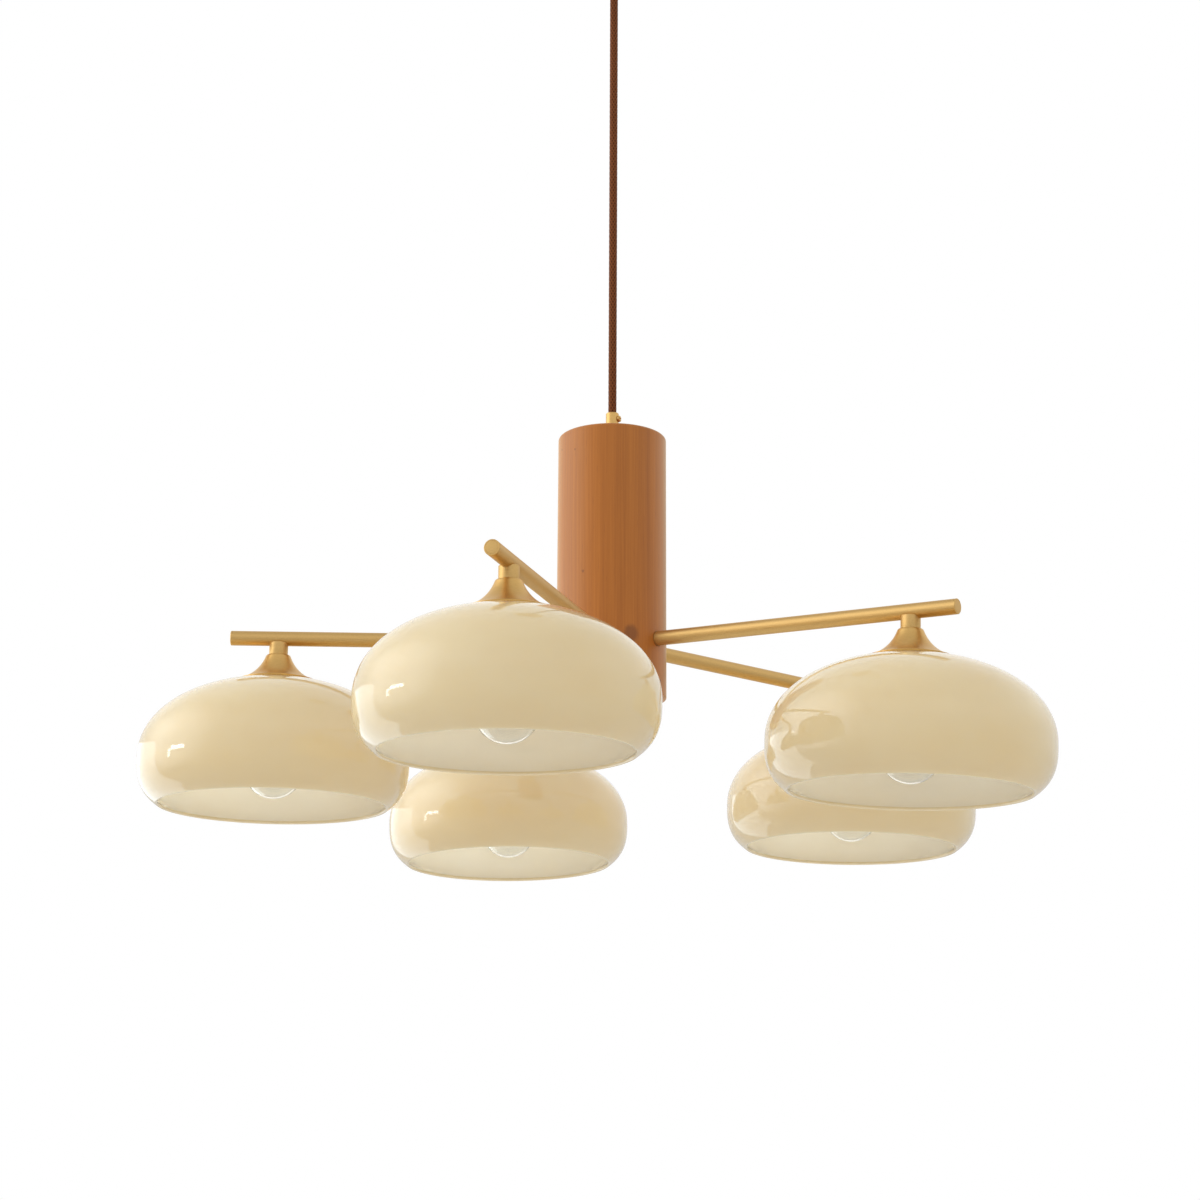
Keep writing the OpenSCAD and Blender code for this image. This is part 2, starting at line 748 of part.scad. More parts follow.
module lampholder(i) {
    shoulder_r = holder_r - 3;
    top = -holder_top_drop;
    roof_foot = top - 9;
    seat = bulb_top_z + 1.5;
    color(WHITE) at_shade(i)
    rotate_extrude()
        polygon([
            [nipple_d / 2 + set_fit, top],
            [shoulder_r - 2, top],
            [shoulder_r, top - 2],
            [holder_r, top - 5],
            [holder_r, holder_foot_z + 0.8],
            [holder_r - 0.8, holder_foot_z],
            [holder_bore_r + 0.6, holder_foot_z],
            [holder_bore_r, holder_foot_z + 0.6],
            [holder_bore_r, seat],
            [holder_bore_r - 4, seat],
            [holder_bore_r - 4, roof_foot],
            [nipple_d / 2 + set_fit, roof_foot]
        ]);
}

// ---- Bulbs ----

neck_r = cap_d / 2 - 0.65;
neck_fillet = 8;
globe_wall = 0.8;
neck_turn = acos((neck_r + neck_fillet) / (globe_r + neck_fillet));
fillet_centre = [neck_r + neck_fillet, globe_z + (globe_r + neck_fillet) * sin(neck_turn)];
neck_top_z = cap_foot_z + 5;

module bulb_glass(i) {
    centre = [0, globe_z];
    color(CLEAR) at_shade(i)
    rotate_extrude()
        polygon(concat(
            arc(centre, globe_r, -90, neck_turn, 20),
            arc(fillet_centre, neck_fillet, 180 + neck_turn, 180, 5),
            [[neck_r, neck_top_z], [neck_r - globe_wall, neck_top_z]],
            arc(fillet_centre, neck_fillet + globe_wall, 180, 180 + neck_turn, 5),
            arc(centre, globe_r - globe_wall, neck_turn, -90, 20)
        ));
}

// Cap: a plain skirt over the glass neck, then rolled ridges, then a coned top
module bulb_cap(i) {
    crest_r = cap_d / 2;
    root_r = crest_r - 0.8;
    shell = 0.5;
    skirt_top = cap_foot_z + 6.5;
    ridges = 4;
    thread_top = skirt_top + ridges * cap_pitch;
    color(BRIGHT_BRASS) at_shade(i)
    rotate_extrude()
        polygon(concat(
            [[neck_r + set_fit, cap_foot_z], [crest_r, cap_foot_z], [crest_r, skirt_top - 1]],
            [for (k = [0 : ridges - 1]) for (p = [[root_r, 0], [root_r, 0.8], [crest_r, 1.8], [crest_r, 2.6]])
                [p[0], skirt_top + k * cap_pitch + p[1]]],
            [[root_r, thread_top], [contact_d / 2 + 0.6, cap_top_z], [0, cap_top_z]],
            [[0, cap_top_z - 2], [contact_d / 2, cap_top_z - 2]],
            [[root_r - shell, thread_top - 1], [root_r - shell, skirt_top]],
            [[neck_r + set_fit, skirt_top - 0.6]]
        ));
}

module bulb_contact(i) {
    color(STEEL) at_shade(i) translate([0, 0, bulb_top_z - contact_t])
        cylinder(r1 = contact_d / 2, r2 = contact_d / 2 - 1, h = contact_t);
}

ceiling_bracket();
ceiling_canopy();
canopy_screws();
canopy_grip();
canopy_nut();
terminal_block();
canopy_tail();
cord();
hub_grip();
hub_grip_screw();
hub_body();
hub_rod();
hub_nuts();
hub_cover();
arm_collar();
splice_block();
hub_wiring();
arm_end_plugs();
shade_rings();
shade_nipples();
for (i = ARMS) {
    arm_tube(i);
    stem_post(i);
    bell_cap(i);
    glass_shade(i);
    lampholder(i);
    bulb_glass(i);
    bulb_cap(i);
    bulb_contact(i);
}
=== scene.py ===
import json
import math
import bpy
import numpy as np
from mathutils import Matrix, Vector

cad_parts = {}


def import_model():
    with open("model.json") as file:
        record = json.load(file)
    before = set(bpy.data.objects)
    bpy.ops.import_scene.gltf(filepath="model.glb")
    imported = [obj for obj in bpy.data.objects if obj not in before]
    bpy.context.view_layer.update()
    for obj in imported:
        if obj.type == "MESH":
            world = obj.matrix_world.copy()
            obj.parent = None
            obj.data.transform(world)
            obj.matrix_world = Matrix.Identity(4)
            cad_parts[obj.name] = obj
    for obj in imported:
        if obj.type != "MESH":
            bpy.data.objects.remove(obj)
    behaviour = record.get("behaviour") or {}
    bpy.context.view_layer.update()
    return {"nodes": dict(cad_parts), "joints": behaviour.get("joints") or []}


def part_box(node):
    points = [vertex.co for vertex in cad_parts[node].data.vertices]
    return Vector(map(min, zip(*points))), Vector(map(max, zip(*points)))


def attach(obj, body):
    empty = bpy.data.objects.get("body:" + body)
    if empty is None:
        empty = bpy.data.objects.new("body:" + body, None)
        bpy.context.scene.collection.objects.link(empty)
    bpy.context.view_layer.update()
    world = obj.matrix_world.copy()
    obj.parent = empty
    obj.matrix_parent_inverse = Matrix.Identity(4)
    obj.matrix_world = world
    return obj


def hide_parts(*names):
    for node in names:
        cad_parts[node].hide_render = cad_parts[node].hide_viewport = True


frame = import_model()
NODES = frame["nodes"]
ARMS = range(1, 6)
MM = 0.001

# ---------------------------------------------------------------- camera
CAMERA_AT = Vector((-0.0715, -1.6927, -1.0032))
CAMERA_YAW, CAMERA_PITCH, CAMERA_ROLL = (math.radians(a) for a in (2.121, 14.337, 0.307))
CAMERA_LENS = 69.11


def make_camera():
    data = bpy.data.cameras.new("camera")
    data.lens = CAMERA_LENS
    data.sensor_width = 36.0
    data.clip_start, data.clip_end = 0.05, 60
    cam = bpy.data.objects.new("camera", data)
    bpy.context.scene.collection.objects.link(cam)
    ahead = Vector((math.sin(CAMERA_YAW) * math.cos(CAMERA_PITCH),
                    math.cos(CAMERA_YAW) * math.cos(CAMERA_PITCH), math.sin(CAMERA_PITCH)))
    right = Vector((math.cos(CAMERA_YAW), -math.sin(CAMERA_YAW), 0))
    up = right.cross(ahead)
    c, s = math.cos(CAMERA_ROLL), math.sin(CAMERA_ROLL)
    across, above = right * c + up * s, up * c - right * s
    turn = Matrix((across, above, -ahead)).transposed().to_4x4()
    cam.matrix_world = Matrix.Translation(CAMERA_AT) @ turn
    bpy.context.scene.camera = cam


make_camera()


# ---------------------------------------------------------------- mesh helpers
def add_object(name, points, faces, material, body, matrix=None, smooth=True,
               sharp=30, indices=None):
    """A mesh object in the row frame, riding on a body. material may be a list, with each
    face's index into it in indices."""
    mesh = bpy.data.meshes.new(name)
    mesh.from_pydata([tuple(p) for p in points], [], [tuple(f) for f in faces])
    for m in material if isinstance(material, (list, tuple)) else [material]:
        mesh.materials.append(m)
    if indices is not None:
        mesh.polygons.foreach_set("material_index", indices)
    mesh.validate()
    mesh.update()
    if smooth:
        mesh.polygons.foreach_set("use_smooth", [True] * len(mesh.polygons))
        mesh.set_sharp_from_angle(angle=math.radians(sharp))
    obj = bpy.data.objects.new(name, mesh)
    bpy.context.scene.collection.objects.link(obj)
    if matrix is not None:
        obj.matrix_world = matrix
    if body:
        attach(obj, body)
    return obj


def lathe_mesh(profile, turns):
    """Points and faces of a closed profile, [(r, z)] in mm, turned about Z. Points on the axis are poles."""
    points, faces, index, rows = [], [], [], []
    for r, z in profile:
        if r < 1e-6:
            rows.append([len(points)])
            points.append((0, 0, z * MM))
            continue
        rows.append(list(range(len(points), len(points) + turns)))
        for k in range(turns):
            a = 2 * math.pi * k / turns
            points.append((r * MM * math.cos(a), r * MM * math.sin(a), z * MM))
    count = len(rows)
    for n in range(count):
        a, b = rows[n], rows[(n + 1) % count]
        if len(a) == 1 and len(b) == 1:
            continue
        for k in range(turns):
            j = (k + 1) % turns
            if len(a) == 1:
                faces.append((a[0], b[j], b[k]))
            elif len(b) == 1:
                faces.append((a[k], a[j], b[0]))
            else:
                faces.append((a[k], a[j], b[j], b[k]))
            index.append(n)
    return points, faces, index


def lathe(name, profile, material, body, matrix=None, turns=96, sharp=30, parts=None):
    """A turned piece. The profile runs anticlockwise in (r, z), in mm, and parts gives the
    material's index for each of its steps."""
    points, faces, steps = lathe_mesh(profile, turns)
    indices = None if parts is None else [parts[n] for n in steps]
    return add_object(name, points, faces, material, body, matrix, True, sharp, indices)


def arc(centre, r, start, end, steps):
    """Points on an arc, angles in degrees."""
    turns = [math.radians(start + (end - start) * k / steps) for k in range(steps + 1)]
    return [(centre[0] + r * math.cos(a), centre[1] + r * math.sin(a)) for a in turns]


def eased(profile, radius=0.25, steps=3):
    """The same closed profile with its corners rounded a little, so that edges catch light."""
    out, count = [], len(profile)
    for n, p in enumerate(profile):
        if p[0] < 1e-6:
            out.append(p)
            continue
        p = Vector(p)
        before, after = Vector(profile[n - 1]) - p, Vector(profile[(n + 1) % count]) - p
        turn = math.pi - before.angle(after, math.pi)
        cut = min(radius * math.tan(turn / 2), before.length * 0.4, after.length * 0.4)
        if turn < math.radians(25):
            out.append(tuple(p))
            continue
        a, b = p + before.normalized() * cut, p + after.normalized() * cut
        for k in range(steps + 1):
            t = k / steps
            q = a * (1 - t) ** 2 + p * 2 * t * (1 - t) + b * t ** 2
            out.append(tuple(q))
    return out


def tube(name, path, radius, sides, material, body):
    """A closed tube of round section along path, in metres."""
    path = [Vector(p) for p in path]
    points, faces = [], []
    side = None
    for k, p in enumerate(path):
        t = (path[min(k + 1, len(path) - 1)] - path[max(k - 1, 0)]).normalized()
        side = side or (Vector((1, 0, 0)) if abs(t.x) < 0.9 else Vector((0, 1, 0)))
        side = (side - t * side.dot(t)).normalized()
        other = t.cross(side)
        for s in range(sides):
            a = 2 * math.pi * s / sides
            points.append(p + (side * math.cos(a) + other * math.sin(a)) * radius)
    for k in range(len(path) - 1):
        for s in range(sides):
            n = (s + 1) % sides
            a, b = k * sides, (k + 1) * sides
            faces.append((a + s, a + n, b + n, b + s))
    faces.append(tuple(range(sides))[::-1])
    faces.append(tuple((len(path) - 1) * sides + s for s in range(sides)))
    return add_object(name, points, faces, material, body)


def cut(obj, cutters):
    """Takes the cutters out of obj, and removes them."""
    for c in cutters:
        m = obj.modifiers.new("cut", "BOOLEAN")
        m.operation, m.object, m.solver = "DIFFERENCE", c, "EXACT"
    bpy.context.view_layer.update()
    graph = bpy.context.evaluated_depsgraph_get()
    made = bpy.data.meshes.new_from_object(obj.evaluated_get(graph))
    obj.modifiers.clear()
    obj.data = made
    made.polygons.foreach_set("use_smooth", [True] * len(made.polygons))
    made.set_sharp_from_angle(angle=math.radians(30))
    for c in cutters:
        bpy.data.objects.remove(c)


# ---------------------------------------------------------------- material helpers
class Paint:
    """A node material with one Principled shader."""

    def __init__(self, name, **values):
        self.material = bpy.data.materials.new(name)
        self.material.use_nodes = True
        self.tree = self.material.node_tree
        self.shader = self.tree.nodes["Principled BSDF"]
        for key, value in values.items():
            self.shader.inputs[key.replace("_", " ")].default_value = value
        self.place = self.tree.nodes.new("ShaderNodeTexCoord").outputs["Object"]

    def node(self, kind, values=(), **settings):
        made = self.tree.nodes.new("ShaderNode" + kind)
        for key, value in settings.items():
            setattr(made, key, value)
        for key, value in dict(values).items():
            self.feed(made.inputs[key], value)
        return made

    def feed(self, socket, value):
        if isinstance(value, bpy.types.NodeSocket):
            self.tree.links.new(value, socket)
        else:
            socket.default_value = value

    def maths(self, operation, a, b=0.0, c=0.0):
        return self.node("Math", {0: a, 1: b, 2: c}, operation=operation).outputs[0]

    def stretched(self, x, y, z):
        return self.node("Mapping", {"Vector": self.place, "Scale": (x, y, z)}).outputs[0]

    def round_place(self, along, across, around):
        """A place that hardly changes round the Z axis, for turned and brushed lines."""
        split = self.node("SeparateXYZ", {0: self.place})
        x, y, z = split.outputs
        r = self.maths("SQRT", self.maths("ADD", self.maths("MULTIPLY", x, x),
                                          self.maths("MULTIPLY", y, y)))
        cosine = self.maths("DIVIDE", x, self.maths("ADD", r, 1e-4))
        return self.node("CombineXYZ", {0: self.maths("MULTIPLY", r, across),
                                        1: self.maths("MULTIPLY", cosine, around),
                                        2: self.maths("MULTIPLY", z, along)}).outputs[0]

    def noise(self, place, scale=1.0, detail=3.0, rough=0.5, distortion=0.0):
        return self.node("TexNoise", {"Vector": place, "Scale": scale, "Detail": detail,
                                      "Roughness": rough, "Distortion": distortion}).outputs["Fac"]

    def ramp(self, value, stops):
        made = self.node("ValToRGB", {0: value})
        ends = made.color_ramp.elements
        while len(ends) < len(stops):
            ends.new(0.5)
        for end, (at, colour) in zip(ends, stops):
            end.position, end.color = at, (*colour, 1)
        return made.outputs[0]

    def mix(self, share, a, b, how="MIX"):
        made = self.node("Mix", data_type="RGBA", blend_type=how)
        self.feed(made.inputs[0], share)
        self.feed(made.inputs[6], a if isinstance(a, bpy.types.NodeSocket) else (*a, 1))
        self.feed(made.inputs[7], b if isinstance(b, bpy.types.NodeSocket) else (*b, 1))
        return made.outputs[2]

    def between(self, value, low, high):
        return self.node("MapRange", {0: value, 3: low, 4: high}).outputs[0]

    def colour(self, value):
        self.feed(self.shader.inputs["Base Color"], value)

    def rough(self, value):
        self.feed(self.shader.inputs["Roughness"], value)

    def bump(self, height, strength, distance, after=None):
        made = self.node("Bump", {"Height": height, "Strength": strength, "Distance": distance})
        if after is not None:
            self.feed(made.inputs["Normal"], after)
        self.feed(self.shader.inputs["Normal"], made.outputs[0])
        return made.outputs[0]


def srgb(r, g, b):
    """Linear colour from 0-255 sRGB."""
    return tuple(((c / 255 + 0.055) / 1.055) ** 2.4 if c > 10 else c / 255 / 12.92 for c in (r, g, b))


def brass_paint(name, low, high, roughness, along):
    """Satin brass with fine lines round the Z axis, as on turned and brushed pieces."""
    p = Paint(name, Metallic=1.0, Coat_Weight=0.05, Coat_Roughness=0.3)
    lines = p.noise(p.round_place(along, along, 6), 1, 4, 0.6)
    cloud = p.noise(p.place, 22, 3, 0.55)
    p.colour(p.mix(p.between(cloud, 0.25, 0.75), p.ramp(lines, [(0.3, low), (0.7, high)]), high))
    worn = p.maths("ADD", p.maths("MULTIPLY", lines, 0.6), p.maths("MULTIPLY", cloud, 0.4))
    p.rough(p.between(worn, roughness - 0.07, roughness + 0.08))
    p.bump(lines, 0.12, 0.00004)
    return p.material


# The knot and the dark specks in the wood: place in mm, radius, and how dark
WOOD_MARKS = [(12.8, -39.5, -605.2, 7.2, 0.7), (35.7, -21.2, -636.9, 1.5, 0.8),
              (-22.9, -34.6, -557, 1.2, 0.65), (-29.5, -29.2, -459.9, 1.0, 0.6),
              (-39, -14.1, -455.9, 1.2, 0.6)]


def wood_paint():
    """Oiled wood, its grain along Z, with one knot and a few dark specks on the hub's side."""
    p = Paint("hub_wood", Coat_Weight=0.2, Coat_Roughness=0.35, Specular_IOR_Level=0.55, Sheen_Weight=0.55,
              Specular_Tint=(1.0, 0.9, 0.6, 1), Sheen_Roughness=0.35, Sheen_Tint=(1.0, 0.95, 0.62, 1))
    wander = p.noise(p.stretched(9, 9, 1.6), 1, 2, 0.5)
    shift = p.node("CombineXYZ", {0: p.between(wander, -0.004, 0.004),
                                  1: p.between(wander, 0.003, -0.003), 2: 0.0}).outputs[0]
    push = p.node("VectorMath", {0: p.place, 1: shift}, operation="ADD").outputs[0]
    fibre, band, broad = (
        p.noise(p.node("Mapping", {"Vector": push, "Scale": (across, across, along)}).outputs[0],
                1, detail, rough)
        for across, along, detail, rough in ((620, 9, 4, 0.62), (95, 2.2, 3, 0.5), (26, 1.1, 2, 0.5)))
    grain = p.maths("ADD", p.maths("MULTIPLY", fibre, 0.42),
                    p.maths("ADD", p.maths("MULTIPLY", band, 0.34), p.maths("MULTIPLY", broad, 0.24)))
    tone = p.ramp(grain, [(0.34, srgb(160, 88, 23)), (0.5, srgb(175, 101, 31)),
                          (0.66, srgb(188, 113, 40))])
    flecks = p.noise(p.stretched(1500, 1500, 60), 1, 2, 0.5)
    tone = p.mix(p.between(p.maths("GREATER_THAN", flecks, 0.69), 0, 0.30), tone, srgb(120, 62, 30))
    for x, y, z, r, dark in WOOD_MARKS:
        offset = p.node("VectorMath", {0: p.place, 1: (x * MM, y * MM, z * MM)},
                        operation="SUBTRACT").outputs[0]
        squash = p.node("VectorMath", {0: offset, 1: (1, 1, 0.85)}, operation="MULTIPLY").outputs[0]
        far = p.node("VectorMath", {0: squash}, operation="LENGTH").outputs["Value"]
        ragged = p.maths("ADD", far, p.between(p.noise(p.place, 420, 2, 0.5), -0.0009, 0.0009))
        near = p.node("MapRange", {0: ragged, 1: r * MM * 0.45, 2: r * MM, 3: dark, 4: 0.0},
                      interpolation_type="SMOOTHSTEP").outputs[0]
        tone = p.mix(near, tone, srgb(112, 58, 28))
    p.colour(tone)
    p.rough(p.between(fibre, 0.34, 0.5))
    p.bump(fibre, 0.18, 0.00012)
    return p.material


def opal_paint(name, base, deep, gloss):
    """Glossy cased opal glass: light goes a little way in, and the surface is faintly uneven."""
    p = Paint(name, Roughness=gloss, Specular_IOR_Level=0.55, Coat_Weight=0.5, Coat_Roughness=0.03,
              Subsurface_Weight=1.0, Subsurface_Scale=0.012, Subsurface_Radius=(1.0, 0.95, 0.85))
    cloud = p.noise(p.stretched(14, 14, 22), 1, 2, 0.5)
    p.colour(p.ramp(cloud, [(0.3, deep), (0.7, base)]))
    p.bump(p.noise(p.place, 30, 2, 0.4), 0.05, 0.0006)
    return p.material


def plain_paint(name, low, high, roughness, scale, bump, **values):
    """A moulded or plated finish: slight clouding of colour and gloss, and a fine surface."""
    p = Paint(name, **values)
    cloud = p.noise(p.place, scale, 3, 0.5)
    fine = p.noise(p.place, scale * 18, 2, 0.5)
    p.colour(p.ramp(cloud, [(0.3, low), (0.7, high)]))
    p.rough(p.between(fine, roughness - 0.06, roughness + 0.06))
    p.bump(fine, bump, 0.00005)
    return p.material


# The free cord, in metres, and its braided sleeve: strands each way, the height in which two
# of them pass a point, and how far they stand out
CORD_TOP, CORD_FOOT, CORD_R = -0.046, -0.421, 0.0032
BRAID_STRANDS, BRAID_PITCH, BRAID_RISE = 8, 0.009, 0.00008
CORD_SIDES, CORD_STEPS = 48, 750


def textile_paint():
    """The braided sleeve's colours: loose fibres in random tone, and painted shade that follows the braid's
    relief, darker in the grooves between the two families of crossing strands and lighter on their crowns.
    """
    p = Paint("cord_textile", Sheen_Weight=0.1, Sheen_Roughness=0.5, Specular_IOR_Level=0.12)
    split = p.node("SeparateXYZ", {0: p.place})
    turn = p.maths("ARCTAN2", split.outputs[1], split.outputs[0])
    climb = p.maths("MULTIPLY", split.outputs[2], 2 * math.pi / BRAID_PITCH)
    weave = []
    for way in (-1, 1):
        phase = p.maths("ADD", p.maths("MULTIPLY", turn, BRAID_STRANDS * way),
                        p.maths("MULTIPLY", climb, 2.0))
        weave.append(p.maths("SINE", phase))
    # Painted shade: the strands' relief is low in the grooves between them, and it darkens the tone there.
    groove_shade = p.maths("MAXIMUM", weave[0], weave[1])
    fuzz = p.noise(p.place, 2600, 3, 0.6)
    tone = p.ramp(p.maths("ADD", p.maths("MULTIPLY", groove_shade, 0.3), p.maths("MULTIPLY", fuzz, 0.7)),
                  [(0.15, srgb(70, 34, 16)), (0.55, srgb(116, 65, 33)), (0.95, srgb(146, 90, 54))])
    p.colour(tone)
    p.rough(p.between(fuzz, 0.75, 0.95))
    p.bump(fuzz, 0.3, 0.0002)
    return p.material


def clear_paint():
    """Clear bulb glass with a trace of unevenness."""
    p = Paint("bulb_clear_glass", Transmission_Weight=1.0, IOR=1.5, Roughness=0.0)
    haze = p.noise(p.place, 60, 2, 0.5)
    p.colour(p.ramp(haze, [(0.3, (0.96, 0.975, 0.97)), (0.7, (0.99, 0.995, 0.99))]))
    p.rough(p.between(haze, 0.0, 0.02))
    return p.material


def glow_paint():
    """The bulb's filament sticks: pale phosphor, not lit."""
    p = Paint("bulb_filament", Roughness=0.6, Subsurface_Weight=0.2, Subsurface_Scale=0.001)
    p.colour(p.ramp(p.noise(p.place, 3000, 2, 0.5),
                    [(0.3, srgb(214, 180, 96)), (0.7, srgb(236, 206, 124))]))
    p.bump(p.noise(p.place, 2500, 2, 0.5), 0.4, 0.0001)
    return p.material


BRASS = brass_paint("satin_brass", srgb(197, 160, 97), srgb(219, 183, 120), 0.44, 1400)
BRASS_TURNED = brass_paint("bright_brass", srgb(203, 163, 96), srgb(226, 186, 117), 0.38, 1900)
WOOD = wood_paint()
OPAL = opal_paint("opal_outside", srgb(230, 207, 170), srgb(227, 201, 161), 0.05)
OPAL_INSIDE = opal_paint("opal_inside", srgb(255, 238, 216), srgb(252, 232, 208), 0.12)
OPAL_EDGE = opal_paint("opal_edge", srgb(230, 207, 172), srgb(222, 198, 160), 0.06)
STEEL = plain_paint("zinc_plated_steel", (0.52, 0.53, 0.54), (0.66, 0.66, 0.65), 0.38, 40, 0.2,
                    Metallic=1.0)
NICKEL = plain_paint("cap_nickel", (0.62, 0.60, 0.56), (0.74, 0.72, 0.68), 0.3, 60, 0.15,
                     Metallic=1.0)
PLASTIC = plain_paint("white_moulding", srgb(226, 224, 218), srgb(238, 237, 232), 0.4, 30, 0.15,
                      Specular_IOR_Level=0.4)
DARK_GLAZE = plain_paint("cap_insulator", (0.015, 0.013, 0.012), (0.03, 0.026, 0.022), 0.15, 50, 0.05)
SLEEVE = plain_paint("wire_sleeve", srgb(106, 60, 44), srgb(124, 76, 56), 0.55, 80, 0.3)
TEXTILE = textile_paint()
CLEAR = clear_paint()
PHOSPHOR = glow_paint()


# ---------------------------------------------------------------- cord
def braided_cord():
    """The free cord: a straight braided sleeve between the two grips."""
    points, faces = [], []
    for k in range(CORD_STEPS + 1):
        z = CORD_TOP + (CORD_FOOT - CORD_TOP) * k / CORD_STEPS
        for s in range(CORD_SIDES):
            a = 2 * math.pi * s / CORD_SIDES
            climb = 2 * math.pi * z / BRAID_PITCH
            left = math.sin(BRAID_STRANDS * a + 2 * climb)
            right = math.sin(-BRAID_STRANDS * a + 2 * climb)
            r = CORD_R - BRAID_RISE + BRAID_RISE * max(left, right)
            points.append((r * math.cos(a), r * math.sin(a), z))
    for k in range(CORD_STEPS):
        for s in range(CORD_SIDES):
            n = (s + 1) % CORD_SIDES
            a, b = k * CORD_SIDES, (k + 1) * CORD_SIDES
            faces.append((a + n, a + s, b + s, b + n))
    faces.append(tuple(range(CORD_SIDES)))
    faces.append(tuple(CORD_STEPS * CORD_SIDES + s for s in range(CORD_SIDES))[::-1])
    obj = add_object("free_cord", points, faces, TEXTILE, "cord", sharp=60)
    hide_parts("cord")


braided_cord()


# ---------------------------------------------------------------- places of the arms and shades
# How far a bulb's joint lies below the arm's line, in metres, and the shades' radius in mm
GLOBE_DROP = 0.0987
REACH = 250.0


def shade_matrix(i):
    """The frame of shade i: its origin where the shade's axis meets the arm's line, +Z up its
    axis, +X out along the arm."""
    joint = next(j for j in frame["joints"] if j["name"] == f"bulb_{i}_turn")
    up = -Vector(joint["axis"]).normalized()
    at = Vector(joint["pos_m"]) + up * GLOBE_DROP
    out = Vector((at.x, at.y, 0))
    out = (out - up * out.dot(up)).normalized()
    made = Matrix((out, up.cross(out), up)).transposed().to_4x4()
    return Matrix.Translation(at) @ made


def arm_matrix(i):
    """The frame of arm i: its origin on the hub's axis, +Z out along the arm, +X up."""
    place = shade_matrix(i)
    out, up = place.col[0].xyz, place.col[2].xyz
    made = Matrix((up, out.cross(up), out)).transposed().to_4x4()
    return Matrix.Translation(place.translation - out * REACH * MM) @ made


# ---------------------------------------------------------------- ceiling fitting
def canopy():
    """The ceiling cup, spun from sheet."""
    r, h, wall, edge = 57.5, 26, 1.2, 5
    centre = (r - edge, -h + edge)
    hole = 4.55
    profile = ([(hole, -h)] + arc(centre, edge, -90, 0, 14)
               + [(r, -0.15), (r - 0.3, 0), (r - wall, 0)]
               + arc(centre, edge - wall, 0, -90, 12) + [(hole, -h + wall)])
    obj = lathe("canopy_cup", profile, BRASS, "root", turns=128)
    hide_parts("ceiling_canopy")


def grip(name, node, body, mouth, seat, shank_end, turn=0.0):
    """A cord grip: a small turned barrel with an eased mouth, a fine groove and the hole of
    its screw. Its shank starts at the seat."""
    way = 1 if mouth > seat else -1
    bore, shank, barrel = 3.5, 4.45, 5
    outline = [(bore + 0.4, mouth), (barrel - 0.6, mouth), (barrel, mouth - way * 0.6),
               (barrel, seat + way * 3.4), (barrel - 0.25, seat + way * 3.2),
               (barrel - 0.25, seat + way * 2.8), (barrel, seat + way * 2.6), (barrel, seat),
               (shank, seat), (shank, shank_end), (bore, shank_end), (bore, mouth - way * 0.4)]
    if way > 0:
        outline = outline[::-1]
    place = Matrix.Rotation(math.radians(turn), 4, "Z")
    obj = lathe(name, eased(outline, 0.15), BRASS_TURNED, body, place, turns=64)
    aim = (place @ Matrix.Translation((0, 0, (mouth - way * 5) * MM))
           @ Matrix.Rotation(math.pi / 2, 4, "Y"))
    hole = lathe(name + "_cut", [(0, 0), (1.6, 0), (1.6, 10), (0, 10)], BRASS_TURNED, None,
                 aim, 32)
    cut(obj, [hole])
    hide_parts(node)


def screw(name, at, turn, tip, seat, body):
    """A slotted screw along +X from tip to the underside of its rounded head, turned about Z."""
    head_r, head_t = 2.5, 2.0
    outline = [(0, tip), (1.1, tip), (1.5, tip + 0.4), (1.5, seat), (head_r, seat),
               (head_r, seat + head_t * 0.5), (head_r * 0.86, seat + head_t * 0.82),
               (head_r * 0.5, seat + head_t * 0.97), (0, seat + head_t)]
    place = (Matrix.Rotation(math.radians(turn), 4, "Z") @ Matrix.Translation((0, 0, at * MM))
             @ Matrix.Rotation(math.pi / 2, 4, "Y"))
    obj = lathe(name, eased(outline, 0.2), BRASS_TURNED, body, place, turns=48)
    w, top = 0.4 * MM, (seat + head_t) * MM
    corners = [(x, y, z) for x in (-w, w) for y in (-3 * MM, 3 * MM)
               for z in (top - 0.9 * MM, top + MM)]
    sides = [(0, 1, 3, 2), (4, 6, 7, 5), (0, 4, 5, 1), (2, 3, 7, 6), (0, 2, 6, 4), (1, 5, 7, 3)]
    slot = add_object(name + "_cut", corners, sides, BRASS_TURNED, None, place, False)
    cut(obj, [slot])
    return obj


canopy()
grip("canopy_grip_barrel", "canopy_grip", "root", -46, -26, -19.8)
BRACKET_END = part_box("ceiling_bracket")[1].x / MM
for n, turn in enumerate((0, 180)):
    screw(f"canopy_side_screw_{n + 1}", -8, turn, BRACKET_END - 3, 57.5, "root")
top_screw = screw("canopy_grip_screw", -41, 0, 3.5, 5, "root")
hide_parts("canopy_screws")
GRIP_TURN = -24
grip("hub_grip_barrel", "hub_grip", "grip", -421, -440.4, -450.4, GRIP_TURN)
hub_screw = screw("hub_grip_set_screw", -426, GRIP_TURN, 3.5, 5, "grip")
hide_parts("hub_grip_screw")


# ---------------------------------------------------------------- hub
HUB_TOP, HUB_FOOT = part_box("hub_body")[1].z / MM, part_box("hub_body")[0].z / MM
HUB_R, HUB_BORE = 41.5, 23.0


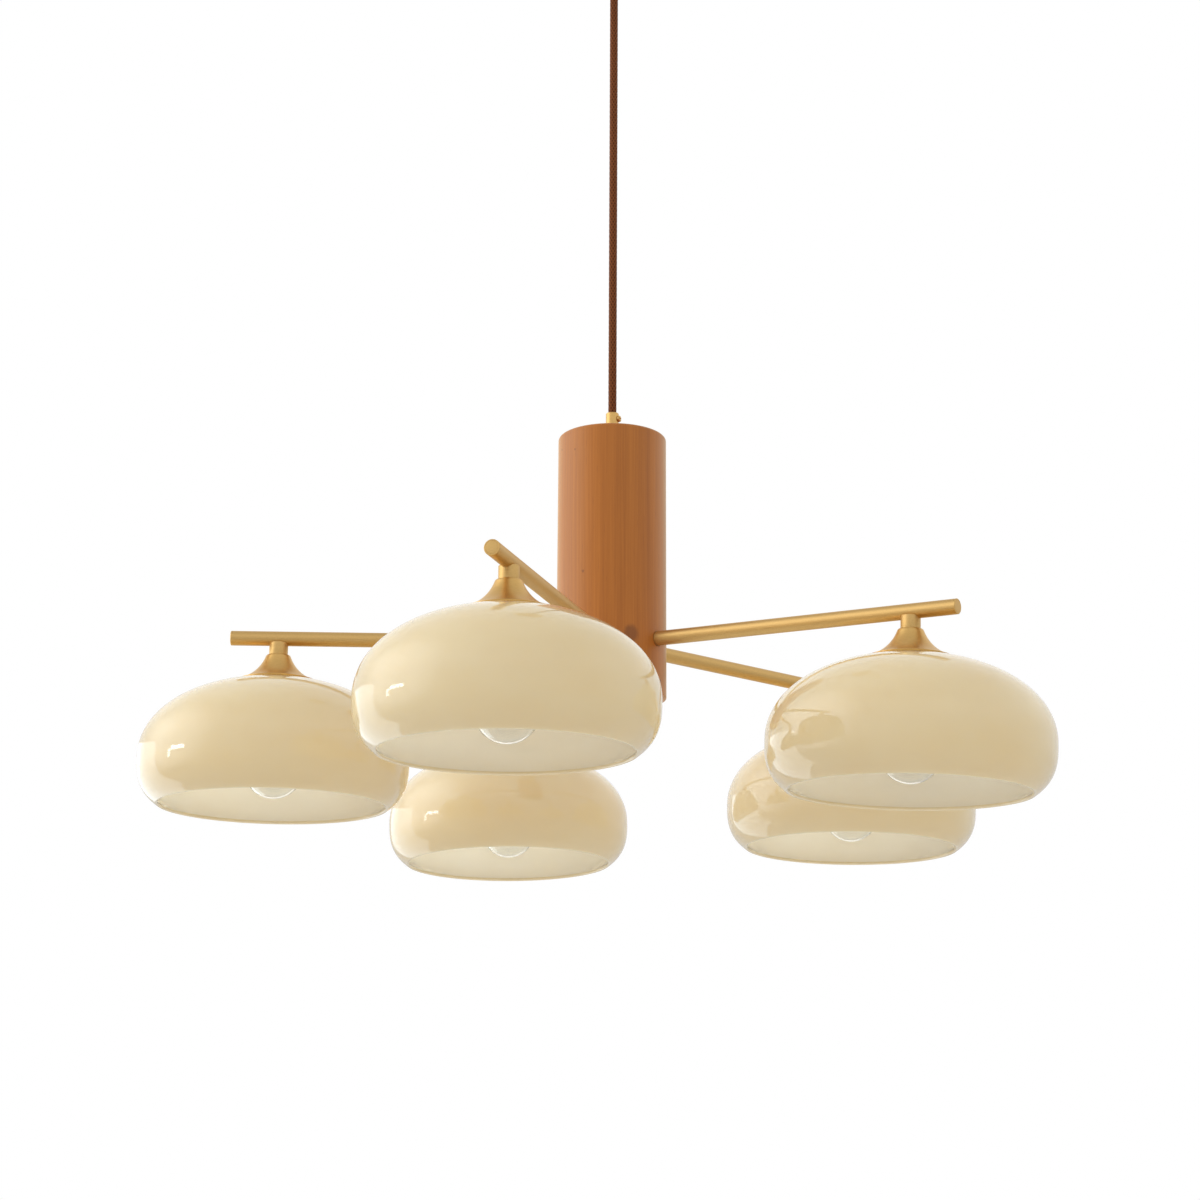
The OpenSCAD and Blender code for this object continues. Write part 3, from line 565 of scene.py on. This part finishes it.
def hub():
    """The turned wooden hub, with a rounded top edge, a bored inside and a hole for each arm."""
    z0, z1 = HUB_FOOT, HUB_TOP
    profile = ([(6.1, z1 - 20), (HUB_BORE, z1 - 20), (HUB_BORE, z0 + 3.1), (26.1, z0 + 3.1),
                (26.1, z0 + 0.3), (26.4, z0)]
               + arc((HUB_R - 1, z0 + 1), 1, -90, 0, 6)
               + arc((HUB_R - 2.5, z1 - 2.5), 2.5, 0, 90, 10) + [(6.4, z1), (6.1, z1 - 0.3)])
    obj = lathe("hub_wood_body", profile, WOOD, "lamp", turns=180)
    holes = []
    for i in ARMS:
        outline = [(0, 21), (5.6, 21), (5.6, HUB_R - 0.85), (6.2, HUB_R + 0.6), (6.2, HUB_R + 6),
                   (0, HUB_R + 6)]
        holes.append(lathe(f"hub_cut_{i}", outline, WOOD, None, arm_matrix(i), turns=64))
    cut(obj, holes)
    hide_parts("hub_body")


def hub_cover():
    """The brass cover in the hub's foot, with the socket that screws onto the rod."""
    z = HUB_FOOT
    outline = [(0, z), (25.2, z), (26, z + 0.8), (26, z + 2.8), (9, z + 2.8), (9, z + 12),
               (6.1, z + 12), (6.1, z + 2.8), (0, z + 2.8)]
    obj = lathe("hub_foot_cover", eased(outline, 0.3), BRASS, "lamp", turns=128)
    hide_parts("hub_cover")


hub()
hub_cover()


# ---------------------------------------------------------------- arms, posts and bells
ARM_R, ARM_BORE, ARM_START, ARM_TIP, PLUG_T = 5.5, 4.5, 13, 286, 1.4


def arm(i):
    """The brass tube and the plug in its end, with a fine groove round the plug's face."""
    place = arm_matrix(i)
    steps = 24
    side = [(ARM_R, ARM_START + (ARM_TIP - PLUG_T - ARM_START) * k / steps) for k in range(steps + 1)]
    profile = [(ARM_BORE, ARM_START)] + side + [(ARM_BORE, ARM_TIP - PLUG_T)]
    obj = lathe(f"arm_{i}", profile, BRASS, "lamp", place, turns=64)
    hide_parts(f"arm_tube_{i}")
    z = ARM_TIP
    plug = [(0, z - 6.4), (4.45, z - 6.4), (4.45, z - PLUG_T), (ARM_R, z - PLUG_T), (ARM_R, z - 0.4),
            (ARM_R - 0.4, z), (4.55, z), (4.4, z - 0.15), (4.25, z), (0, z)]
    obj = lathe(f"arm_end_plug_{i}", eased(plug, 0.12), BRASS, "lamp", place, turns=64)
    if i == 5:
        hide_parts("arm_end_plugs")


def post(i):
    """The short post under the arm: its top is sawn flat, with the arm lying in its saddle."""
    outline = [(3.5, -13), (7, -13), (7, -3.6), (6.4, -3), (3.5, -3)]
    obj = lathe(f"post_{i}", eased(outline, 0.18), BRASS, "lamp", shade_matrix(i), turns=72)
    turn = Matrix.Rotation(math.pi / 2, 4, "Y")
    saddle = lathe(f"post_cut_{i}", [(0, -12), (5.54, -12), (5.54, 12), (0, 12)], BRASS, None,
                   shade_matrix(i) @ turn, turns=96)
    cut(obj, [saddle])
    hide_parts(f"stem_post_{i}")


# The shade's outline is two half ovals, above and below its widest height
SHADE_R, WIDEST, CROWN_H, CROWN_POWER = 100.0, -93.0, 61.0, 2.1
SKIRT_H, SKIRT_POWER, MOUTH_R, GLASS_T, HOLE_R = 34.2, 2.86, 85.2, 2.6, 20.5


def glass_top(r):
    """The height of the glass's outside at radius r."""
    return WIDEST + CROWN_H * (1 - (r / SHADE_R) ** CROWN_POWER) ** (1 / CROWN_POWER)


def bell(i):
    """The trumpet-shaped cap over the glass's neck, spun thin, its lip just clear of the
    glass. Its side is one arc, leaning lean0 at the neck and lean1 at the lip."""
    neck_r, neck_z, lip_r, wall, lean0 = 9.2, -13.7, 30.0, 1.2, 20.0
    roof_z = -15.5
    lip_z = glass_top(lip_r) + 0.3 + wall
    run, fall = lip_r - neck_r, neck_z - lip_z
    lean1 = 2 * math.degrees(math.atan2(run, fall)) - lean0
    radius = math.hypot(run, fall) / (2 * math.sin(math.radians((lean1 - lean0) / 2)))
    cx = neck_r + radius * math.cos(math.radians(lean0))
    cz = neck_z + radius * math.sin(math.radians(lean0))

    def at(lean, inset):
        a = math.radians(lean)
        return (cx - (radius + inset) * math.cos(a), cz - (radius + inset) * math.sin(a))

    roof = math.degrees(math.asin((cz - roof_z) / (radius + wall)))
    steps = 28
    outer = [at(lean0 + (lean1 - lean0) * k / steps, 0) for k in range(steps + 1)]
    inner = [at(lean1 + (roof - lean1) * k / steps, wall) for k in range(steps + 1)]
    profile = ([(5.1, roof_z)] + inner[::-1] + [(outer[-1][0] - 0.05, outer[-1][1] - 0.6)]
               + outer[::-1] + [(8.5, -13), (5.1, -13)])
    obj = lathe(f"bell_{i}", profile, BRASS_TURNED, "lamp", shade_matrix(i), turns=128,
                sharp=25)
    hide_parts(f"bell_cap_{i}")


# ---------------------------------------------------------------- glass shades
def oval_end(share, power):
    """The parameter at which an oval has come in to that share of its radius."""
    return math.acos(share ** (power / 2))


def oval_in(a, b, power, t, inset):
    """A point of the oval with half axes a and b, moved inward by inset."""
    p = Vector((a * abs(math.cos(t)) ** (2 / power), b * abs(math.sin(t)) ** (2 / power)))
    n = Vector(((p.x / a) ** (power - 1) / a, (p.y / b) ** (power - 1) / b)).normalized()
    return p - n * inset


def shade(i):
    """The opal shade: a flattened oval with a rounded rim, cream outside and paler inside."""
    top_end = oval_end(HOLE_R / SHADE_R, CROWN_POWER)
    low_end = oval_end(MOUTH_R / SHADE_R, SKIRT_POWER)
    low_b = SKIRT_H / math.sin(low_end) ** (2 / SKIRT_POWER)
    tops, lows, rims = 64, 44, 12

    def crown(t, inset):
        p = oval_in(SHADE_R, CROWN_H, CROWN_POWER, t, inset)
        return (p.x, WIDEST + p.y)

    def skirt(t, inset):
        p = oval_in(SHADE_R, low_b, SKIRT_POWER, t, inset)
        return (p.x, WIDEST - p.y)

    lip = Vector(skirt(low_end, GLASS_T / 2))
    lean = Vector(skirt(low_end, 0)) - lip
    start = math.degrees(math.atan2(lean.y, lean.x))
    rim = arc(lip, GLASS_T / 2, start, start - 180, rims)
    ease = [k / tops for k in range(tops + 1)]
    outer, inner = ([crown(top_end * k, inset) for k in reversed(ease)]
                    + [skirt(low_end * k / lows, inset) for k in range(1, lows)]
                    for inset in (0, GLASS_T))
    profile = inner + rim[::-1] + outer[::-1]
    # The materials' indices: 0 outside, 1 inside, 2 the rim and the hole's edge
    parts = [1] * len(inner) + [2] * (len(rim) - 1) + [0] * (len(outer) + 1)
    parts[-1] = 2
    points, faces, steps = lathe_mesh(profile, 160)
    place = shade_matrix(i)
    obj = add_object(f"shade_{i}", [place @ Vector(p) for p in points], faces,
                     [OPAL, OPAL_INSIDE, OPAL_EDGE], "lamp", sharp=40,
                     indices=[parts[n] for n in steps])
    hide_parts(f"glass_shade_{i}")


# ---------------------------------------------------------------- lampholders and rings
def lampholder(i):
    """The E27 lampholder, with seven fine grooves round its side."""
    r, bore, top, foot = 19.75, 13.7, -29.5, -76.0
    seat = -44.7
    outline = [(5.1, top), (5.1, top - 9), (bore - 4, top - 9), (bore - 4, seat), (bore, seat),
               (bore, foot + 0.6), (bore + 0.6, foot), (r - 0.8, foot), (r, foot + 0.8)]
    grooves = [z for k in range(7)
               for z in (foot + 9 + 4 * k, foot + 9.6 + 4 * k, foot + 10.2 + 4 * k)]
    outline += [(r if n % 3 != 1 else r - 0.45, z) for n, z in enumerate(grooves)]
    outline += [(r, top - 5), (r - 3, top - 2), (r - 5, top)]
    obj = lathe(f"holder_{i}", eased(outline, 0.3), PLASTIC, "lamp", shade_matrix(i))
    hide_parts(f"lampholder_{i}")


RING_TOP = glass_top(27) - GLASS_T - 0.3


def shade_ring(i):
    """The knurled ring that screws up the lampholder and clamps the glass."""
    points, faces = [], []
    turns, r = 144, 27.0
    z1, z0 = RING_TOP, RING_TOP - 6
    bore, rib_depth = 19.85, 0.55
    rows = [(bore, z0, 0), (r - 1.0, z0, 0), (r - 0.2, z0 + 0.8, 0.5), (r, z0 + 1.3, 1), (r, z1 - 1.3, 1),
            (r - 0.2, z1 - 0.8, 0.5), (r - 1.0, z1, 0), (bore, z1, 0)]
    for radius, z, rib in rows:
        for k in range(turns):
            a = 2 * math.pi * k / turns
            q = radius - rib * (rib_depth if k % 4 in (0, 1) else 0)
            points.append((q * MM * math.cos(a), q * MM * math.sin(a), z * MM))
    for n in range(len(rows)):
        for k in range(turns):
            j, m = (k + 1) % turns, (n + 1) % len(rows)
            faces.append((n * turns + k, n * turns + j, m * turns + j, m * turns + k))
    obj = add_object(f"shade_ring_{i}", points, faces, PLASTIC, "lamp",
                     shade_matrix(i), sharp=25)
    if i == 5:
        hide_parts("shade_rings")


# ---------------------------------------------------------------- bulbs
GLOBE_R, BULB_TOP, BULB_LEN, CAP_LEN, NECK_R, FILLET = 22.5, -46.2, 75.0, 25.0, 12.5, 8.0
CAP_TOP = BULB_TOP - 1.65
CAP_FOOT = CAP_TOP - CAP_LEN
GLOBE_Z = BULB_TOP - BULB_LEN + GLOBE_R


def bulb_outline(inset, steps=40):
    """The bulb's glass from its foot up to the neck, moved inward by inset."""
    turn = math.degrees(math.acos((NECK_R + FILLET) / (GLOBE_R + FILLET)))
    centre = (NECK_R + FILLET, GLOBE_Z + (GLOBE_R + FILLET) * math.sin(math.radians(turn)))
    globe = arc((0, GLOBE_Z), GLOBE_R - inset, -90, turn, steps)
    globe[0] = (0, globe[0][1])
    fillet = arc(centre, FILLET + inset, 180 + turn, 180, 10)[1:]
    return globe + fillet + [(NECK_R - inset, CAP_FOOT + 5)]


def bulb(i):
    """A clear globe bulb, with a glass stem, lead wires and four filament sticks inside."""
    place, body, wall = shade_matrix(i), f"bulb_{i}", 0.4
    glass = lathe(f"bulb_{i}_globe", bulb_outline(0) + bulb_outline(wall)[::-1], CLEAR, body,
                  place, 96, 60)
    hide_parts(f"bulb_glass_{i}")
    z = GLOBE_Z
    stem = [(0, z + 1), (1.4, z + 2), (1.9, z + 4), (2.0, z + 12), (2.6, z + 18), (5.5, z + 24),
            (9.5, CAP_FOOT + 1), (8.6, CAP_FOOT + 1), (4.6, z + 25), (0, z + 22)]
    lathe(f"bulb_{i}_stem", eased(stem, 0.6), CLEAR, body, place, 40, 60)
    for k in range(4):
        a = math.radians(45 + 90 * k)

        def at(r, height, turn=a):
            return (r * math.cos(turn), r * math.sin(turn), z + height)

        foot, top = at(7.5, -9), at(4.6, 14, a + 0.5)
        line = [place @ (Vector(foot).lerp(Vector(top), t / 8) * MM) for t in range(9)]
        tube(f"bulb_{i}_filament_{k + 1}", line, 0.6 * MM, 10, PHOSPHOR, body)
        hook = [place @ (Vector(p) * MM) for p in (at(1.2, 2), at(3.5, -8), at(6.4, -10), foot)]
        tube(f"bulb_{i}_wire_{k + 1}", hook, 0.22 * MM, 8, NICKEL, body)
    cap(i, place)
    top = BULB_TOP
    contact = [(0, top - 1.6), (4.8, top - 1.6), (4.6, top - 0.9), (3.6, top - 0.25), (2.0, top),
               (0, top)]
    obj = lathe(f"bulb_{i}_tip", eased(contact, 0.2), NICKEL, f"bulb_{i}_contact",
                place, 48)
    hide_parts(f"bulb_contact_{i}")


def cap(i, place):
    """The bulb's screw cap: a plain skirt, a rolled right-handed thread and a coned top with a
    dark insulator."""
    turns, crest, depth, pitch = 72, 13.15, 0.75, 3.63
    start, ridges = CAP_FOOT + 6.5, 4
    end = start + ridges * pitch
    heights = [CAP_FOOT, CAP_FOOT + 0.3, CAP_FOOT + 5.2] + list(np.linspace(start - 0.5, end + 0.5, 78))
    points, faces = [], []

    def add_point(r, a, z):
        points.append((r * math.cos(a) * MM, r * math.sin(a) * MM, z * MM))

    for z in heights:
        for k in range(turns):
            a = 2 * math.pi * k / turns
            wave = 0.5 - 0.5 * math.cos(2 * math.pi * (z - start) / pitch - a)
            ends = max(0.0, min(1.0, (z - start + 0.5) / 1.5)) if z > CAP_FOOT + 5.3 else 0.0
            add_point(crest - depth * wave * ends - (0.15 if z == CAP_FOOT else 0), a, z)
    outline = [(11.2, end + 1.2), (6.4, CAP_TOP - 0.6), (5.4, CAP_TOP - 0.1), (3, CAP_TOP)]
    inner = [(12.6, CAP_FOOT)]
    for r, z in outline + inner:
        for k in range(turns):
            add_point(r, 2 * math.pi * k / turns, z)
    rows = len(heights) + len(outline)
    for n in range(rows - 1):
        for k in range(turns):
            j = (k + 1) % turns
            low, high = n * turns, (n + 1) * turns
            faces.append((low + k, low + j, high + j, high + k))
    last = (rows - 1) * turns
    faces.append(tuple(last + k for k in range(turns)))
    for k in range(turns):
        j = (k + 1) % turns
        faces.append((j, k, rows * turns + k, rows * turns + j))
    faces.append(tuple(rows * turns + k for k in range(turns))[::-1])
    dark_from = (len(heights) + 1) * turns
    indices = [1 if min(f) >= dark_from and max(f) < rows * turns else 0 for f in faces]
    obj = add_object(f"bulb_{i}_cap", points, faces, [NICKEL, DARK_GLAZE], f"bulb_{i}",
                     place, sharp=50, indices=indices)
    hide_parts(f"bulb_cap_{i}")


for i in ARMS:
    arm(i)
    post(i)
    bell(i)
    shade(i)
    lampholder(i)
    shade_ring(i)
    bulb(i)


# ---------------------------------------------------------------- CAD nodes that stay
KEPT = {"ceiling_bracket": STEEL, "canopy_nut": STEEL, "terminal_block": PLASTIC, "canopy_tail": TEXTILE,
        "hub_rod": STEEL, "hub_nuts": STEEL, "arm_collar": STEEL, "splice_block": PLASTIC,
        "hub_wiring": SLEEVE, "shade_nipples": STEEL}
for node, paint in KEPT.items():
    for holder in NODES[node].material_slots:
        holder.material = paint


# ---------------------------------------------------------------- room and light
FLOOR_Z, FLOOR_HALF = -3.0, 8


def floor():
    """The plain pale floor, far enough down to leave the hub's underside in view."""
    p = Paint("studio_floor", Roughness=0.9, Specular_IOR_Level=0.2)
    p.colour(p.ramp(p.noise(p.place, 3, 3, 0.5),
                    [(0.3, (0.68, 0.67, 0.65)), (0.7, (0.695, 0.685, 0.665))]))
    h = FLOOR_HALF
    obj = add_object("studio_floor", [(-h, -h, 0), (h, -h, 0), (h, h, 0), (-h, h, 0)], [(0, 1, 2, 3)],
                     p.material, None, Matrix.Translation((0, 0, FLOOR_Z)), False)


def area_light(name, at, aim, size, power, colour):
    data = bpy.data.lights.new(name, "AREA")
    data.shape, data.size, data.size_y = "RECTANGLE", size[0], size[1]
    data.energy, data.color, data.spread = power, colour, math.pi
    obj = bpy.data.objects.new(name, data)
    bpy.context.scene.collection.objects.link(obj)
    obj.location = at
    obj.rotation_mode = "QUATERNION"
    obj.rotation_quaternion = (Vector(aim) - Vector(at)).to_track_quat("-Z", "Y")
    obj.visible_camera = False
    return obj


# Brightness of the air by the sine of the elevation
AIR = [(0.0, 0.65), (0.45, 1.01), (0.95, 0.68)]
AIR_TINT = (1.0, 0.98, 0.94)
# The soft glow of a window on the left, a little above level: its direction, the cosine at
# which it starts, and its brightness
WINDOW_AT, WINDOW_EDGE, WINDOW_GLOW = (-0.95, -0.02, 0.31), 0.74, 1.1


def world():
    """A pale studio: brightest at a third of the way up, and white behind the object."""
    made = bpy.data.worlds.new("studio_air")
    bpy.context.scene.world = made
    made.use_nodes = True
    tree = made.node_tree
    back = tree.nodes["Background"]
    place = tree.nodes.new("ShaderNodeTexCoord")
    split = tree.nodes.new("ShaderNodeSeparateXYZ")
    ramp = tree.nodes.new("ShaderNodeValToRGB")
    seen = tree.nodes.new("ShaderNodeLightPath")
    mix = tree.nodes.new("ShaderNodeMix")
    mix.data_type = "RGBA"
    tree.links.new(place.outputs["Generated"], split.inputs[0])
    tree.links.new(split.outputs[2], ramp.inputs[0])
    ends = ramp.color_ramp.elements
    ends.new(0.5)
    for end, (at, level) in zip(ends, AIR):
        end.position, end.color = at, (*[level * c for c in AIR_TINT], 1)
    tree.links.new(seen.outputs["Is Camera Ray"], mix.inputs[0])
    toward = tree.nodes.new("ShaderNodeVectorMath")
    toward.operation = "DOT_PRODUCT"
    toward.inputs[1].default_value = WINDOW_AT
    glow = tree.nodes.new("ShaderNodeMapRange")
    glow.interpolation_type = "SMOOTHSTEP"
    for n, value in enumerate((WINDOW_EDGE, 1.0, 0.0, WINDOW_GLOW)):
        glow.inputs[n + 1].default_value = value
    lit = tree.nodes.new("ShaderNodeMix")
    lit.data_type, lit.blend_type = "RGBA", "ADD"
    lit.inputs[0].default_value = 1.0
    tree.links.new(place.outputs["Generated"], toward.inputs[0])
    tree.links.new(toward.outputs["Value"], glow.inputs[0])
    tree.links.new(ramp.outputs[0], lit.inputs[6])
    tree.links.new(glow.outputs[0], lit.inputs[7])
    tree.links.new(lit.outputs[2], mix.inputs[6])
    mix.inputs[7].default_value = (1, 1, 1, 1)
    tree.links.new(mix.outputs[2], back.inputs["Color"])
    bpy.context.scene.view_settings.view_transform = "Standard"


def card(name, azimuth, low, high, width, distance, radiance, colour=(1, 1, 1)):
    """An upright lit panel as the shades see it: azimuth from +Y, two elevations and width, all
    in degrees."""
    eye = Vector((-0.1, -0.1, -0.7))
    a = math.radians(azimuth)
    ahead = Vector((math.sin(a), math.cos(a), 0))
    z0, z1 = (distance * math.tan(math.radians(e)) for e in (low, high))
    at = eye + ahead * distance + Vector((0, 0, (z0 + z1) / 2))
    size = (2 * distance * math.tan(math.radians(width / 2)), z1 - z0)
    power = radiance * math.pi * size[0] * size[1]
    return area_light(name, at, Vector((eye.x, eye.y, at.z)), size, power, colour)


floor()
world()
card("white_wall_left", -46, -46, 12.5, 47, 2.6, 1.0, (0.82, 0.93, 1.0)).visible_diffuse = False
card("backdrop", -8, -25, 45, 58, 3.0, 1.35, (1.0, 0.95, 0.88)).visible_glossy = False
card("soft_left", -84, 5, 58, 62, 2.6, 0.9, (1.0, 0.98, 0.96)).visible_glossy = False
card("window_bar", -97, 6, 8.5, 14, 2.6, 7.0)
card("window_side", -88, 0, 7, 3, 2.6, 4.0)
